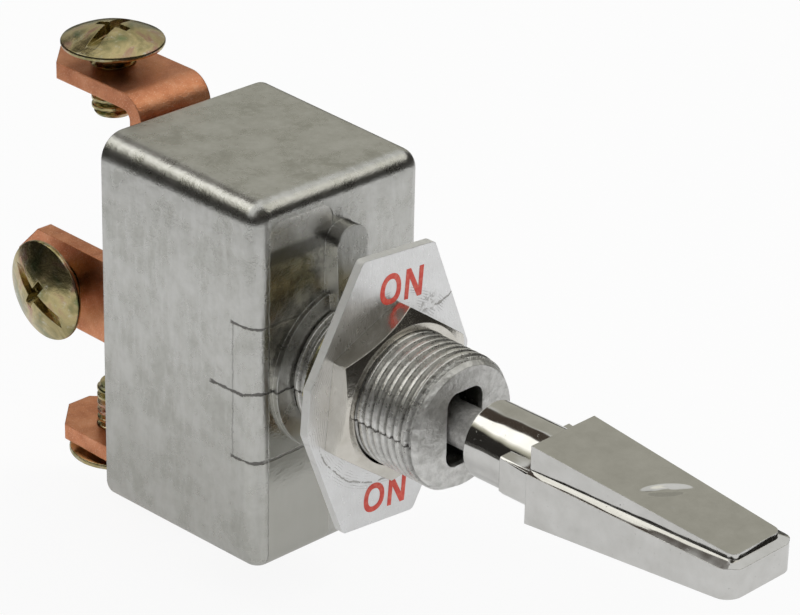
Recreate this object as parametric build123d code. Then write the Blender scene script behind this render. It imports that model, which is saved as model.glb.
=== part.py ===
from build123d import *
import os
from math import atan2, cos, degrees, radians, sin, sqrt, tan

# Panel toggle switch, single pole, two "on" sides and a centre "off".
# Millimetres. The origin is on the bushing axis, in the plane of the housing's front face.
# -Y runs out along the bushing and the toggle, +Y back to the terminals, +Z along the housing's long side.

# Housing casting
body_w = 20.2  # across X at the front face
body_h = 36.5  # along Z at the front face
body_d = 20.2
draft = 1.2  # degrees, widens towards the open rear
edge_r = 2.0
front_edge_r = 1.7
wall = 1.6
front_wall = 1.8
cavity_r = 0.8

# Threaded bushing, cast in one with the housing
thread_d = 12.7
bushing_len = 16.0
bushing_chamfer = 1.0
bushing_end_d = 11.4
bushing_nose_t = 2.0  # wall with the slot, at the bushing's end
bore_d = 9.2
bore_mouth_d = 12.4
bore_cone_len = 4.8
boss_d = 16.0
boss_h = 0.6
key_w = 3.7
key_top = 14.3
key_bottom = 5.0
key_h = 1.6

# Lips that are staked over the base
lip_t = 0.8
lip_reach = 1.2
lip_len = 4.2
lip_z = 11.0

# Lever
pivot_depth = 6.5  # pivot axis behind the bushing's end face
swing = 13.0  # degrees each way
stem_d = 4.0
slot_side_gap = 0.15
slot_end_gap = 0.05
slot_corner_r = 1.2
ball_d = 8.4
pin_d = 2.0
pin_len = 10.0
pin_gap = 0.03
tail_d = 5.7
tail_len = 13.7
barrel_bore_d = 4.0
barrel_depth = 10.2
collar_d = 7.2
collar_start = 3.2  # clear of the bushing's end face
wing_start = 7.7
wing_w = 8.8
wing_t = 3.8
wing_chamfer = 0.5
paddle_start = 11.3
paddle_len = 22.3
paddle_root = (8.9, -3.3, 1.5)  # width, underside, top of the side wall
paddle_tip = (8.3, -1.5, 1.2)
paddle_corner_r = 1.5
ledge_inset = 0.4
ledge_rise = 0.5
panel_root_inset = 0.1
panel_tip_inset = 0.7
panel_root_z = 4.0
panel_tip_z = 2.1
panel_tip_gap = 0.8

# Plunger and its spring
plunger_gap = 0.05
plunger_back = 8.3  # plunger's rear end behind the pivot
nose_d = 3.0
nose_len = 2.6
tip_reach = 16.0  # centre of the round tip behind the pivot
spring_wire_d = 0.5
spring_turns = 4

# Rocker with its contacts
rocker_t = 1.0
rocker_w = 5.4
rocker_half_len = 11.0
trough_half = 5.0
trunnion_d = 1.6
trunnion_gap = 0.05
trough_gap = 0.06
contact_end = 2.0  # from a contact's centre to the rocker's end
contact_open = 1.2  # gap that closes when the rocker tilts
button_d = 3.0
button_h = 1.2
button_neck_d = 1.4
button_hole_gap = 0.02
button_clinch_h = 0.3
closed_gap = 0.05

# Centre contact
cheek_t = 1.0
cheek_gap = 0.2
cheek_w = 6.0
bracket_floor_t = 1.0

# Insulating base and liner
base_front = 11.2
base_gap = 0.1
base_step_h = 2.2
base_step_w = 14.8
base_step_len = 31.0
base_step_r = 1.0
liner_t = 0.4
liner_gap = 0.05

# Rivets
rivet_d = 3.0
rivet_hole_gap = 0.02
rivet_head_d = 5.0
rivet_head_h = 1.0
contact_head_d = 4.4
contact_dome_r = 4.5
centre_head_h = 0.6

# Terminals
strap_t = 1.6
strap_w = 8.4
strap_shift = -0.4  # straps stand a little to the left of their rivets
strap_bend_r = 1.0
strap_reach = 36.6
strap_chamfer = 2.9
top_terminal_h = 20.0
bottom_terminal_h = 19.6
outer_foot_end = 2.8  # from the rivet's centre towards the middle
middle_terminal_h = 7.3
middle_foot_end = 3.6

# Terminal screws
screw_d = 4.17
screw_head_d = 9.75
screw_head_h = 2.0
screw_rim_h = 0.45
screw_len = 7.0
screw_y = 30.5
middle_screw_y = 29.7
top_screw_lift = 1.7  # head stands off the strap, ready for a wire
middle_screw_lift = 2.0
bottom_screw_lift = 0.6
screw_hole_gap = 0.05
screw_chamfer = 0.5

# Hardware on the bushing
panel_gap = 3.4  # thread left free for the panel
washer_t = 1.6
washer_w = 1.75
washer_gap = 0.15
washer_split = 28.0  # degrees
washer_turn = 8.0  # degrees, the split's upper end above the axis
plate_t = 0.9
plate_half_h = 13.2
plate_half_w = 9.7
plate_end_half_w = 4.35
plate_flat_half = 2.2
plate_corner = 0.6
plate_gap = 0.15
plate_turn = 4.4  # degrees, clockwise from the front
nut_flats = 14.6
nut_t = 2.35
nut_gap = 0.03
nut_turn = 24.0  # degrees, clockwise from the front
nut_chamfer = 0.7

pivot_y = pivot_depth - bushing_len
tip_r = nose_d / 2
contact_arm = rocker_half_len - contact_end
spread = tan(radians(draft))


def section(y, x_dir=(1, 0, 0)):
    """Plane across the bushing axis at y, facing the front, with Z up."""
    return Plane(origin=(0, y, 0), x_dir=x_dir, z_dir=(0, -1, 0))


def prism(sketch, y0, y1):
    """Sketch in X and Z, made solid from y0 to y1."""
    return extrude(section(y1) * sketch, amount=y1 - y0)


def drafted(w, h, r, y0, y1):
    """Rounded block that widens by the draft angle; w and h hold at y = 0."""
    rear = Plane(origin=(0, y0, 0), x_dir=(-1, 0, 0), z_dir=(0, 1, 0))
    grow = 2 * spread * y0
    return extrude(rear * RectangleRounded(w + grow, h + grow, r), amount=y1 - y0, taper=-draft)


def turned(*points):
    """Solid turned about the bushing axis from (radius, y) points."""
    return revolve(make_face(Polyline(*points, close=True)), Axis.Y)


def rod(d, y0, y1):
    return turned((0, y0), (d / 2, y0), (d / 2, y1), (0, y1))


def box(x0, x1, y0, y1, z0, z1):
    return Pos((x0 + x1) / 2, (y0 + y1) / 2, (z0 + z1) / 2) * Box(x1 - x0, y1 - y0, z1 - z0)


def cross_rod(d, length, y, x=0):
    """Rod along X, with its middle at x."""
    return Pos(x, y, 0) * Rot(0, 90, 0) * Cylinder(d / 2, length)


# The slot lets the stem touch its ends just past the swing
slot_w = stem_d + 2 * slot_side_gap
slot_h = 2 * (pivot_depth * tan(radians(swing)) + stem_d / 2 / cos(radians(swing)) + slot_end_gap)

outside = drafted(body_w, body_h, edge_r, 0, body_d)
outside = fillet(outside.faces().sort_by(Axis.Y)[0].edges(), front_edge_r)
cavity_w = body_w - 2 * wall
cavity_h = body_h - 2 * wall
cavity = drafted(cavity_w, cavity_h, cavity_r, front_wall, body_d + 1)
bushing = turned(
    (0, front_wall),
    (thread_d / 2, front_wall),
    (thread_d / 2, bushing_chamfer - bushing_len),
    (bushing_end_d / 2, -bushing_len),
    (0, -bushing_len),
)
bore_top = bushing_nose_t - bushing_len
bore = turned(
    (0, bore_top),
    (bore_d / 2, bore_top),
    (bore_d / 2, front_wall - bore_cone_len),
    (bore_mouth_d / 2, front_wall),
    (bore_mouth_d / 2, front_wall + 1),
    (0, front_wall + 1),
)
slot = prism(RectangleRounded(slot_w, slot_h, slot_corner_r), -bushing_len - 1, bore_top + 1)
groove_d = pin_d + 2 * pin_gap
groove_w = pin_len + 4 * pin_gap
grooves = cross_rod(groove_d, groove_w, pivot_y)
grooves += box(-groove_w / 2, groove_w / 2, pivot_y, front_wall + 1, -groove_d / 2, groove_d / 2)
key_outline = Pos(0, (key_top - key_w / 2 + key_bottom) / 2) * Rectangle(key_w, key_top - key_w / 2 - key_bottom)
key_outline += Pos(0, key_top - key_w / 2) * Circle(key_w / 2)
key = prism(key_outline, -key_h, 0.5)
housing = outside - cavity + rod(boss_d, -boss_h, 0.5) + bushing + key - bore - slot - grooves
lip_inner = cavity_w / 2 + spread * body_d - lip_reach
lip_outer = lip_inner + lip_reach + wall / 2
for side in (-1, 1):
    for z in (-lip_z, lip_z):
        x0, x1 = sorted((side * lip_inner, side * lip_outer))
        housing += box(x0, x1, body_d - lip_t, body_d, z - lip_len / 2, z + lip_len / 2)

# Lever: ball and hollow tail inside, stem through the slot, collar, wings and paddle outside
collar_y = -bushing_len - collar_start
wing_y = -bushing_len - wing_start
paddle_y = -bushing_len - paddle_start
tip_y = paddle_y - paddle_len


def taper_block(root_w, root_z, tip_w, tip_z, y_root, y_tip):
    """Block that narrows from its root section to its tip section, both given as width and (low, high)."""
    root = Pos(0, sum(root_z) / 2) * Rectangle(root_w, root_z[1] - root_z[0])
    tip = Pos(0, sum(tip_z) / 2) * Rectangle(tip_w, tip_z[1] - tip_z[0])
    return loft([section(y_root) * root, section(y_tip) * tip])


root_w, root_low, root_top = paddle_root
tip_w, tip_low, tip_top = paddle_tip
paddle = taper_block(root_w, (root_low, root_top), tip_w, (tip_low, tip_top), paddle_y, tip_y)
paddle = fillet(paddle.faces().sort_by(Axis.Y)[0].edges().filter_by(Axis.Z), paddle_corner_r)
ledge_w = root_w - 2 * ledge_inset
ledge_tip_w = tip_w - 2 * ledge_inset
ledge = taper_block(
    ledge_w, (0, root_top + ledge_rise), ledge_tip_w, (0, tip_top + ledge_rise), paddle_y, tip_y + ledge_inset
)
ledge = fillet(ledge.faces().sort_by(Axis.Y)[0].edges().filter_by(Axis.Z), paddle_corner_r - ledge_inset)
panel = taper_block(
    ledge_w - 2 * panel_root_inset,
    (0, panel_root_z),
    ledge_tip_w - 2 * panel_tip_inset,
    (0, panel_tip_z),
    paddle_y,
    tip_y + panel_tip_gap,
)
panel = fillet(panel.faces().sort_by(Axis.Y)[0].edges().filter_by(Axis.Z), paddle_corner_r / 2)
wings = chamfer(box(-wing_w / 2, wing_w / 2, paddle_y - 1, wing_y, -wing_t / 2, wing_t / 2).edges(), wing_chamfer)
lever = paddle + ledge + panel + wings
lever += rod(collar_d, paddle_y - 1, collar_y)
lever += rod(stem_d, collar_y - 1, pivot_y)
lever += rod(tail_d, pivot_y, pivot_y + tail_len)
lever += Pos(0, pivot_y, 0) * Sphere(ball_d / 2)
lever -= rod(barrel_bore_d, pivot_y + tail_len - barrel_depth, pivot_y + tail_len + 1)
lever -= cross_rod(pin_d, ball_d + 1, pivot_y)
pivot_pin = cross_rod(pin_d, pin_len, pivot_y)

# Plunger with a round nose, and the coil spring behind it
plunger_d = barrel_bore_d - 2 * plunger_gap
plunger_y = pivot_y + plunger_back
tip_centre = pivot_y + tip_reach
nose_y = tip_centre - nose_len + tip_r
plunger = rod(plunger_d, plunger_y, nose_y) + rod(nose_d, nose_y, tip_centre)
plunger += Pos(0, tip_centre, 0) * Sphere(tip_r)
spring_y = pivot_y + tail_len - barrel_depth
spring_r = plunger_d / 2 - spring_wire_d / 2 - plunger_gap
spring_h = plunger_y - spring_y - spring_wire_d - 2 * plunger_gap
coil = Helix(spring_h / spring_turns, spring_h, spring_r)
wire = Plane(origin=coil @ 0, z_dir=coil % 0) * RegularPolygon(spring_wire_d / 2, 8)
spring = sweep(wire, path=coil, is_frenet=True)
spring = Pos(0, spring_y + spring_wire_d / 2 + plunger_gap, 0) * Rot(-90, 0, 0) * spring

# Rocker: its trough follows the plunger's tip as lever and rocker turn against each other
tilt = degrees(atan2(contact_open, contact_arm))
rocker_y = tip_centre + tip_r + trough_gap + rocker_t / 2
reach_y = tip_centre - rocker_y - tip_reach * (1 - cos(radians(swing)))
reach_z = -tip_reach * sin(radians(swing))
end_y = reach_y * cos(radians(tilt)) + reach_z * sin(radians(tilt))
end_z = -reach_y * sin(radians(tilt)) + reach_z * cos(radians(tilt))
sagitta = tip_centre - rocker_y - end_y
path_r = (end_z**2 + sagitta**2) / (2 * sagitta)
trough_r = path_r + tip_r + trough_gap
trough_y = rocker_y - rocker_t / 2 - trough_r
side_plane = Plane.YZ
ring = Pos(trough_y, 0) * (Circle(trough_r + rocker_t) - Circle(trough_r))
ring &= Pos(trough_y + trough_r, 0) * Rectangle(2 * trough_r, 2 * trough_half)
rocker = extrude(side_plane * ring, amount=rocker_w / 2, both=True)
wing_front = trough_y + sqrt(trough_r**2 - trough_half**2)
wing_back = wing_front + rocker_t
for side in (-1, 1):
    z0, z1 = sorted((side * (trough_half - 0.2), side * rocker_half_len))
    rocker += box(-rocker_w / 2, rocker_w / 2, wing_front, wing_back, z0, z1)
cheek_x = rocker_w / 2 + cheek_gap
trunnion_len = cheek_gap + cheek_t
for side in (-1, 1):
    rocker += cross_rod(trunnion_d, trunnion_len, rocker_y, side * (rocker_w + trunnion_len) / 2)
for z in (-contact_arm, contact_arm):
    rocker -= Pos(0, 0, z) * rod(button_neck_d + 2 * button_hole_gap, wing_front - 1, wing_back + 1)
button = rod(button_d, wing_back, wing_back + button_h)
button += rod(button_neck_d, wing_front, wing_back)
button += rod(button_neck_d + 1, wing_front - button_clinch_h, wing_front)
moving_contact_top = Pos(0, 0, contact_arm) * button
moving_contact_bottom = Pos(0, 0, -contact_arm) * button

# Centre contact: a floor on the base, two cheeks with open notches for the rocker's trunnions
rivet_hole_d = rivet_d + 2 * rivet_hole_gap
floor_front = base_front - bracket_floor_t
cheek_front = rocker_y - trunnion_d / 2 - 0.4
bracket = box(-cheek_x - cheek_t, cheek_x + cheek_t, floor_front, base_front, -cheek_w / 2, cheek_w / 2)
for side in (-1, 1):
    x0, x1 = sorted((side * cheek_x, side * (cheek_x + cheek_t)))
    cheek = box(x0, x1, cheek_front, floor_front, -cheek_w / 2, cheek_w / 2)
    notch_d = trunnion_d + 2 * trunnion_gap
    notch = box(x0, x1, cheek_front - 1, rocker_y, -notch_d / 2, notch_d / 2)
    bracket += cheek - notch - cross_rod(notch_d, 3 * cheek_x, rocker_y)
centre_contact = bracket - rod(rivet_hole_d, floor_front - 1, base_front + 1)

# Base: closes the cavity under the lips; its step stands clear of the casting's rim
base_back = body_d - lip_t
foot_y = base_back + base_step_h
base = drafted(cavity_w - 2 * base_gap, cavity_h - 2 * base_gap, cavity_r, base_front, base_back)
base += prism(RectangleRounded(base_step_w, base_step_len, base_step_r), base_back, foot_y)
for z in (-contact_arm, 0, contact_arm):
    base -= Pos(0, 0, z) * rod(rivet_hole_d, base_front - 1, foot_y + 1)
liner_out = drafted(cavity_w - 2 * liner_gap, cavity_h - 2 * liner_gap, cavity_r, front_wall, base_front)
liner_in = drafted(
    cavity_w - 2 * (liner_gap + liner_t),
    cavity_h - 2 * (liner_gap + liner_t),
    cavity_r - liner_t,
    front_wall - 1,
    base_front + 1,
)
insulating_liner = liner_out - liner_in

# Rivets: the outer two carry the domed fixed contacts
head_back = foot_y + strap_t
rivet_tail = rod(rivet_head_d, head_back, head_back + rivet_head_h)
rivet_tail = fillet(rivet_tail.edges().sort_by(Axis.Y)[-1], rivet_head_h * 0.7)
button_face = wing_back + button_h - rocker_y
closed_y = rocker_y + button_face / cos(radians(tilt)) + contact_arm * tan(radians(tilt))
dome_y = closed_y + (contact_dome_r + closed_gap) / cos(radians(tilt)) - contact_dome_r
dome = Pos(0, dome_y + contact_dome_r, 0) * Sphere(contact_dome_r)
contact_head = rod(contact_head_d, dome_y, base_front) & dome
contact_rivet = contact_head + rod(rivet_d, base_front, head_back) + rivet_tail
fixed_contact_top = Pos(0, 0, contact_arm) * contact_rivet
fixed_contact_bottom = Pos(0, 0, -contact_arm) * contact_rivet
centre_head = rod(contact_head_d, floor_front - centre_head_h, floor_front)
centre_rivet = centre_head + rod(rivet_d, floor_front, head_back) + rivet_tail


def terminal(height, foot_end, rivet_z, hole_y):
    """L strap: foot on the base, tongue running back with its screw face at z = height."""
    corners = Polyline(
        (foot_y, foot_end),
        (head_back, foot_end),
        (head_back, height - strap_t),
        (strap_reach, height - strap_t),
        (strap_reach, height),
        (foot_y, height),
        close=True,
    )
    outline = make_face(corners)
    inner = outline.vertices().sort_by_distance((head_back, height - strap_t))[0]
    outline = fillet(inner, strap_bend_r)
    outer = outline.vertices().sort_by_distance((foot_y, height))[0]
    outline = fillet(outer, strap_bend_r + strap_t)
    strap = Pos(strap_shift, 0, 0) * extrude(Plane.YZ * outline, amount=strap_w / 2, both=True)
    end_corners = strap.faces().sort_by(Axis.Y)[-1].edges().filter_by(Axis.Z)
    strap = chamfer(end_corners, strap_chamfer)
    strap -= Pos(0, 0, rivet_z) * rod(rivet_hole_d, foot_y - 1, head_back + 1)
    hole = Pos(strap_shift, hole_y, height) * Cylinder(screw_d / 2 + screw_hole_gap, 4 * strap_t)
    return strap - hole


def terminal_screw(height, lift, y):
    """Truss-head screw, head up, its head standing off the strap."""
    seat = height + lift
    rim = seat + screw_rim_h
    crown = screw_head_h - screw_rim_h
    crown_r = ((screw_head_d / 2) ** 2 + crown**2) / (2 * crown)
    head = Pos(0, 0, rim + crown - crown_r) * Sphere(crown_r)
    head &= Pos(0, 0, seat + screw_head_h / 2) * Cylinder(screw_head_d / 2, screw_head_h)
    shank = Pos(0, 0, seat - screw_len / 2) * Cylinder(screw_d / 2, screw_len)
    shank = chamfer(shank.edges().sort_by(Axis.Z)[0], screw_chamfer)
    return Pos(strap_shift, y, 0) * (head + shank)


# The middle strap stands on edge, its screw facing -X; the bottom one is the top one's mirror image
to_left = Rot(0, -90, 0)
terminal_top = terminal(top_terminal_h, contact_arm - outer_foot_end, contact_arm, screw_y)
terminal_bottom = mirror(terminal(bottom_terminal_h, contact_arm - outer_foot_end, contact_arm, screw_y), Plane.XY)
terminal_middle = to_left * terminal(middle_terminal_h, -middle_foot_end, 0, middle_screw_y)
screw_top = terminal_screw(top_terminal_h, top_screw_lift, screw_y)
screw_bottom = mirror(terminal_screw(bottom_terminal_h, bottom_screw_lift, screw_y), Plane.XY)
screw_middle = to_left * terminal_screw(middle_terminal_h, middle_screw_lift, middle_screw_y)

# Hardware on the bushing, from the panel's side outwards
washer_back = -boss_h - panel_gap
plate_back = washer_back - washer_t
plate_front = plate_back - plate_t
nut_front = plate_front - nut_t
washer_r = thread_d / 2 + washer_gap
washer_section = Pos(-washer_r - washer_w / 2, washer_back - washer_t / 2) * Rectangle(washer_w, washer_t)
lock_washer = Rot(0, washer_turn, 0) * revolve(washer_section, Axis.Y, revolution_arc=360 - washer_split)

plate_outline = make_face(
    Polyline(
        (plate_end_half_w, plate_half_h),
        (plate_half_w, plate_flat_half),
        (plate_half_w, -plate_flat_half),
        (plate_end_half_w, -plate_half_h),
        (-plate_end_half_w, -plate_half_h),
        (-plate_half_w, -plate_flat_half),
        (-plate_half_w, plate_flat_half),
        (-plate_end_half_w, plate_half_h),
        close=True,
    )
)
plate_outline = fillet(plate_outline.vertices(), plate_corner)
plate_outline -= Circle(thread_d / 2 + plate_gap)
legend_plate = Rot(0, plate_turn, 0) * prism(plate_outline, plate_front, plate_back)

nut_radius = nut_flats / 2 / cos(radians(30))
hexagon = RegularPolygon(nut_radius, 6, rotation=30) - Circle(thread_d / 2 + nut_gap)
hex_nut = prism(hexagon, nut_front, plate_front)
nut_rise = nut_chamfer * tan(radians(30))
nut_envelope = turned(
    (0, nut_front),
    (nut_radius - nut_chamfer, nut_front),
    (nut_radius, nut_front + nut_rise),
    (nut_radius, plate_front),
    (0, plate_front),
)
hex_nut = Rot(0, nut_turn, 0) * (hex_nut & nut_envelope)

pieces = {
    "housing": housing,
    "toggle_lever": lever,
    "lever_pivot_pin": pivot_pin,
    "plunger": plunger,
    "plunger_spring": spring,
    "rocker": rocker,
    "moving_contact_top": moving_contact_top,
    "moving_contact_bottom": moving_contact_bottom,
    "centre_contact": centre_contact,
    "centre_rivet": centre_rivet,
    "fixed_contact_top": fixed_contact_top,
    "fixed_contact_bottom": fixed_contact_bottom,
    "insulating_base": base,
    "insulating_liner": insulating_liner,
    "terminal_top": terminal_top,
    "terminal_middle": terminal_middle,
    "terminal_bottom": terminal_bottom,
    "terminal_screw_top": screw_top,
    "terminal_screw_middle": screw_middle,
    "terminal_screw_bottom": screw_bottom,
    "lock_washer": lock_washer,
    "legend_plate": legend_plate,
    "hex_nut": hex_nut,
}
os.makedirs("parts", exist_ok=True)
for name, piece in pieces.items():
    export_step(piece, f"parts/{name}.step")
print(f"rocker at y = {rocker_y:.3f}, tilt {tilt:.3f} degrees, slot {slot_w:.2f} by {slot_h:.2f}")
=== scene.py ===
# %% [markdown]
# # A panel toggle switch, dressed for its picture
# The switch is a die-cast box with a threaded bushing. A chromed lever comes out of the bushing,
# and a printed plate, a nut and a split washer sit on its thread. Three copper straps with screws
# stand on the back. The CAD model gives every size and place, and this script gives it
# the surfaces, threads and finishes that the CAD leaves out.

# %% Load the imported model
from math import cos, pi, radians, sin

import bmesh
import bpy
from mathutils import Matrix, Vector


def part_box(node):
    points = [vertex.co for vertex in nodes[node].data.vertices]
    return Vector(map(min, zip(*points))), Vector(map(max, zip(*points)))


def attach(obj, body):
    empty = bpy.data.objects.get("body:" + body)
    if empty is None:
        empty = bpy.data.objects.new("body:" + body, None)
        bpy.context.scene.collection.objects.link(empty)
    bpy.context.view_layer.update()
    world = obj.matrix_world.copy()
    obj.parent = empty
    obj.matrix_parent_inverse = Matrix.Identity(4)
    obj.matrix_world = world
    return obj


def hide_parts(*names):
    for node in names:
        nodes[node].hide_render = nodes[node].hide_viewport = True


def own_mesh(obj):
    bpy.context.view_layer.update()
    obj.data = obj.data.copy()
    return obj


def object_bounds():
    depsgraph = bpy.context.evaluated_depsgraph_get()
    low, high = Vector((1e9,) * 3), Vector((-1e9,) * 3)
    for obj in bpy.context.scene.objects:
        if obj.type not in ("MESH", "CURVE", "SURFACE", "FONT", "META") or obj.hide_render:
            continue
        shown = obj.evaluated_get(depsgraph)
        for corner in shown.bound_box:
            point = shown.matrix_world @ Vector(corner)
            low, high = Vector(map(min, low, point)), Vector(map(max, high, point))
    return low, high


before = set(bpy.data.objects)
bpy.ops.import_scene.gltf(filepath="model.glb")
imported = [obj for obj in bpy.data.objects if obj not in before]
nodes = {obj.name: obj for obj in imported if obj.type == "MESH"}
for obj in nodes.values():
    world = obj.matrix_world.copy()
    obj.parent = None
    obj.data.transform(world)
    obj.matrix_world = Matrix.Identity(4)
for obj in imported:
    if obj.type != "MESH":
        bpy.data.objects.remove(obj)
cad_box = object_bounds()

MM = 0.001
print("CAD box in mm:", [round(v / MM, 1) for corner in cad_box for v in corner])

# %% [markdown]
# ## The camera
# The camera was found from the photograph: with the CAD sizes held, one place, one angle and one
# lens put the edges of the box, the plate and the paddle where the picture has them. It can be
# given as an angle round the object, a height angle, a small roll and a distance. A long lens
# far away keeps the lines nearly parallel, as they are in the picture.

# %% Camera
azimuth, elevation, roll = radians(-44.634), radians(26.407), radians(1.317)
distance = 326.006 * MM
target = Vector((7.596, 0, 3.115)) * MM
focal_px, picture_px, sensor_mm = 3588.2, 800, 36

back = Vector((sin(azimuth) * cos(elevation), -cos(azimuth) * cos(elevation), sin(elevation)))
level_right = Vector((cos(azimuth), sin(azimuth), 0))
level_up = back.cross(level_right)
right = level_right * cos(roll) + level_up * sin(roll)
up = level_up * cos(roll) - level_right * sin(roll)

camera = bpy.data.objects.new("camera", bpy.data.cameras.new("camera"))
camera.data.sensor_width = sensor_mm
camera.data.sensor_fit = "HORIZONTAL"
camera.data.lens = focal_px * sensor_mm / picture_px
camera.data.clip_start = 0.01
camera_axes = Matrix((right, up, back)).transposed().to_4x4()
camera.matrix_world = Matrix.Translation(target + back * distance) @ camera_axes
bpy.context.scene.collection.objects.link(camera)
bpy.context.scene.camera = camera
print("camera lens", round(camera.data.lens, 1), "mm at", round(distance / MM), "mm")

# %% [markdown]
# ## Helpers for procedural finishes
# A finish is a small graph of nodes. Most graphs here start with the place of a point on the
# object, in millimetres, put noise on it, and turn the noise into a colour, a roughness or a
# bump. Short helpers keep each graph readable, and find the node tree by the sockets they are
# given. Because the pieces sit at the origin, a place in Object coordinates is the place in the
# drawing, so a stain or a seam stays where it is.

# %% Node helpers
def start_finish(name, metallic=1.0):
    material = bpy.data.materials.new(name)
    material.use_nodes = True
    tree = material.node_tree
    surface = tree.nodes["Principled BSDF"]
    surface.inputs["Metallic"].default_value = metallic
    return material, tree, surface


def feed(socket, value):
    """Joins a node's output to a socket, or sets the socket to a plain value."""
    if isinstance(value, bpy.types.NodeSocket):
        socket.id_data.links.new(value, socket)
    else:
        socket.default_value = value


def new_node(kind, *values):
    """A node in the tree of the first socket among the values."""
    tree = next(value.id_data for value in values if isinstance(value, bpy.types.NodeSocket))
    return tree.nodes.new(kind)


def place_mm(tree, stretch=(1, 1, 1)):
    coordinates = tree.nodes.new("ShaderNodeTexCoord")
    mapping = tree.nodes.new("ShaderNodeMapping")
    mapping.inputs["Scale"].default_value = [s / MM for s in stretch]
    tree.links.new(coordinates.outputs["Object"], mapping.inputs["Vector"])
    return mapping.outputs["Vector"]


def noise(tree, scale, stretch=(1, 1, 1), detail=5.0, rough=0.6, twist=0.0):
    texture = tree.nodes.new("ShaderNodeTexNoise")
    tree.links.new(place_mm(tree, stretch), texture.inputs["Vector"])
    texture.inputs["Scale"].default_value = scale
    texture.inputs["Detail"].default_value = detail
    texture.inputs["Roughness"].default_value = rough
    texture.inputs["Distortion"].default_value = twist
    return texture.outputs["Fac"]


def ramp(value, *stops):
    node = new_node("ShaderNodeValToRGB", value)
    feed(node.inputs["Fac"], value)
    while len(node.color_ramp.elements) < len(stops):
        node.color_ramp.elements.new(1.0)
    for element, (position, colour) in zip(node.color_ramp.elements, stops):
        element.position = position
        element.color = (*colour, 1)
    return node.outputs["Color"]


def mix(factor, first, second):
    node = new_node("ShaderNodeMix", factor, first, second)
    node.data_type = "RGBA"
    feed(node.inputs[0], factor)
    for socket, colour in ((node.inputs[6], first), (node.inputs[7], second)):
        feed(socket, (*colour, 1) if isinstance(colour, tuple) else colour)
    return node.outputs[2]


def maths(operation, *values):
    node = new_node("ShaderNodeMath", *values)
    node.operation = operation
    for socket, value in zip(node.inputs, (*values, 0.0, 0.0)):
        feed(socket, value)
    return node.outputs["Value"]


def plus(first, second):
    return maths("ADD", first, second)


def minus(first, second):
    return maths("SUBTRACT", first, second)


def times(first, second):
    return maths("MULTIPLY", first, second)


def larger(first, second):
    return maths("MAXIMUM", first, second)


def scaled(value, factor, offset):
    """The value times the factor, plus the offset."""
    return maths("MULTIPLY_ADD", value, factor, offset)


def away(value, centre):
    """How far the value is from the centre, on either side."""
    return maths("ABSOLUTE", minus(value, centre))


def length_of(first, second):
    """The length of a line whose two shares are given."""
    return maths("SQRT", plus(times(first, first), times(second, second)))


def grade(value, low, high, start=0.0, end=1.0):
    """A smooth step from start to end while the value goes from low to high."""
    node = new_node("ShaderNodeMapRange", value)
    node.interpolation_type = "SMOOTHSTEP"
    names = "Value", "From Min", "From Max", "To Min", "To Max"
    for name, number in zip(names, (value, low, high, start, end)):
        feed(node.inputs[name], number)
    return node.outputs["Result"]


def fade(value, low, high):
    """1 up to low, falling to 0 at high."""
    return grade(value, low, high, 1.0, 0.0)


def within(value, low, high, soft):
    """1 between low and high, falling to 0 over the soft distance."""
    return times(grade(value, low - soft, low), fade(value, high, high + soft))


def both(*masks):
    """1 where all the masks are 1."""
    value = masks[0]
    for mask in masks[1:]:
        value = times(value, mask)
    return value


def parts_of(vector):
    node = new_node("ShaderNodeSeparateXYZ", vector)
    feed(node.inputs["Vector"], vector)
    return node.outputs["X"], node.outputs["Y"], node.outputs["Z"]


def facing(tree):
    """The surface's own direction, in the object's frame."""
    coordinates = tree.nodes.new("ShaderNodeTexCoord")
    return parts_of(coordinates.outputs["Normal"])


def coat(surface, colour, roughness):
    feed(surface.inputs["Base Color"], colour)
    feed(surface.inputs["Roughness"], roughness)


def dents(surface, height, distance_mm, strength, edge_mm=0.0):
    """Turns a height, in parts of distance_mm, into a bump, over edges softened by edge_mm."""
    tree = surface.id_data
    bump = tree.nodes.new("ShaderNodeBump")
    bump.inputs["Strength"].default_value = strength
    bump.inputs["Distance"].default_value = distance_mm * MM
    tree.links.new(height, bump.inputs["Height"])
    if edge_mm:
        bevel = tree.nodes.new("ShaderNodeBevel")
        bevel.samples = 6
        bevel.inputs["Radius"].default_value = edge_mm * MM
        tree.links.new(bevel.outputs["Normal"], bump.inputs["Normal"])
    tree.links.new(bump.outputs["Normal"], surface.inputs["Normal"])


print("helpers ready")
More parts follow.
